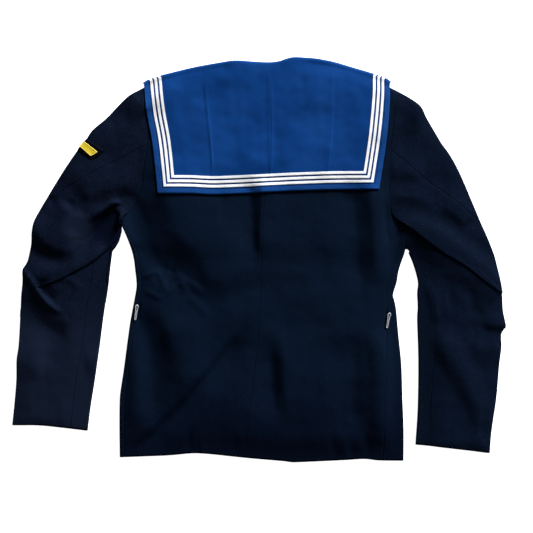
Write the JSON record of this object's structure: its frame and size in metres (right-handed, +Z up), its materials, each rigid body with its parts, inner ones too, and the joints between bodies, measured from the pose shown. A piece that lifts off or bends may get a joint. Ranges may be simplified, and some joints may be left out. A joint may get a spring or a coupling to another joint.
{
  "type": "sailor jumper",
  "caption": "Long-sleeved naval jumper laid flat, back up: navy serge, a square blue sailor collar with white tapes, a plain chevron badge and wire belt hooks",
  "frame": {"origin": "centre of the bounding box in plan, on the surface the jumper lies on", "axes": "+X to the wearer's right, across the sleeves; +Y toward the neck; +Z up, out of the back"},
  "size_m": [0.8486, 0.6974, 0.013],
  "materials": {
    "serge": "navy wool serge, matt with a slight nap",
    "jean": "blue cotton jean twill, matt",
    "tape": "white woven cotton tape",
    "embroidery": "yellow silky embroidery thread",
    "wire": "bright wire, slightly worn"
  },
  "bodies": {
    "root": {"back_left": "serge", "back_right": "serge", "front": "serge", "top_sleeve_left": "serge", "under_sleeve_left": "serge", "top_sleeve_right": "serge", "under_sleeve_right": "serge", "badge_patch": "serge", "collar": "jean", "tape_outer": "tape", "tape_middle": "tape", "tape_inner": "tape", "chevron": "embroidery", "belt_hook_left": "wire", "belt_hook_right": "wire"}
  },
  "joints": []
}
